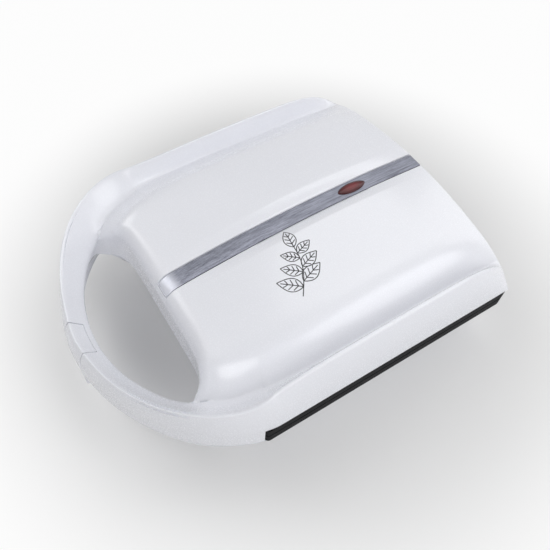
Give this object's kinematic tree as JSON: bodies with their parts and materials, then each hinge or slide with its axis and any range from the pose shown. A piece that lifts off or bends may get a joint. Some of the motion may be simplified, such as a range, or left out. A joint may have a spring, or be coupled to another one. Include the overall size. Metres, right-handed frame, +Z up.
{
  "type": "walnut cookie maker",
  "caption": "White countertop cooker for walnut-shaped cookies: hinged lid, bow handle with latch, cast baking plates with shell hollows.",
  "frame": {"origin": "on the supporting surface, under the middle of the cooker", "axes": "+X across the cooker, +Y from the handle to the hinge, +Z up"},
  "size_m": [0.23, 0.2956, 0.0927],
  "materials": {
    "white_plastic": "satin moulded",
    "black_casting": "die-cast, black non-stick coating",
    "brushed_trim": "brushed lengthwise",
    "red_lens": "clear red moulded",
    "ceramic": "glazed",
    "dark_rubber": "matte",
    "lead_cover": "braided sleeve",
    "zinc_steel": "zinc plated",
    "element_sheath": "oxidised sheath",
    "aluminium_sheet": "rolled sheet"
  },
  "bodies": {
    "base": {"base_shell": "white_plastic", "cord_gland": "dark_rubber", "foot_back_left": "dark_rubber", "foot_back_right": "dark_rubber", "foot_front_left": "dark_rubber", "foot_front_right": "dark_rubber", "hinge_pin_left": "zinc_steel", "hinge_pin_right": "zinc_steel", "lower_baking_plate": "black_casting", "lower_element_clamp_left": "zinc_steel", "lower_element_clamp_right": "zinc_steel", "lower_handle_cover_left": "white_plastic", "lower_handle_cover_right": "white_plastic", "lower_heat_reflector": "aluminium_sheet", "lower_heating_element": "element_sheath", "lower_lead_left": "lead_cover", "lower_lead_right": "lead_cover", "lower_plate_screw_back_left": "zinc_steel", "lower_plate_screw_back_right": "zinc_steel", "lower_plate_screw_front_left": "zinc_steel", "lower_plate_screw_front_right": "zinc_steel", "terminal_block": "ceramic", "thermal_fuse": "zinc_steel"},
    "lid": {"indicator_lamp": "ceramic", "lamp_lens": "red_lens", "latch_pin": "zinc_steel", "lid_shell": "white_plastic", "thermostat": "zinc_steel", "trim_strip": "brushed_trim", "upper_baking_plate": "black_casting", "upper_element_clamp_left": "zinc_steel", "upper_element_clamp_right": "zinc_steel", "upper_handle_cover_left": "white_plastic", "upper_handle_cover_right": "white_plastic", "upper_heat_reflector": "aluminium_sheet", "upper_heating_element": "element_sheath", "upper_lead_left": "lead_cover", "upper_lead_right": "lead_cover", "upper_plate_screw_back_left": "zinc_steel", "upper_plate_screw_back_right": "zinc_steel", "upper_plate_screw_front_left": "zinc_steel", "upper_plate_screw_front_right": "zinc_steel"},
    "latch": {"latch_clip": "white_plastic"}
  },
  "joints": [
    {"name": "lid_hinge", "type": "hinge", "parent": "base", "child": "lid", "pos_m": [0, 0.1431, 0.0467], "axis": [-1, 0, 0], "range_deg": [0, 100]},
    {"name": "latch_pivot", "type": "hinge", "parent": "lid", "child": "latch", "pos_m": [0, -0.1374, 0.057], "axis": [-1, 0, 0], "range_deg": [0, 35]}
  ]
}
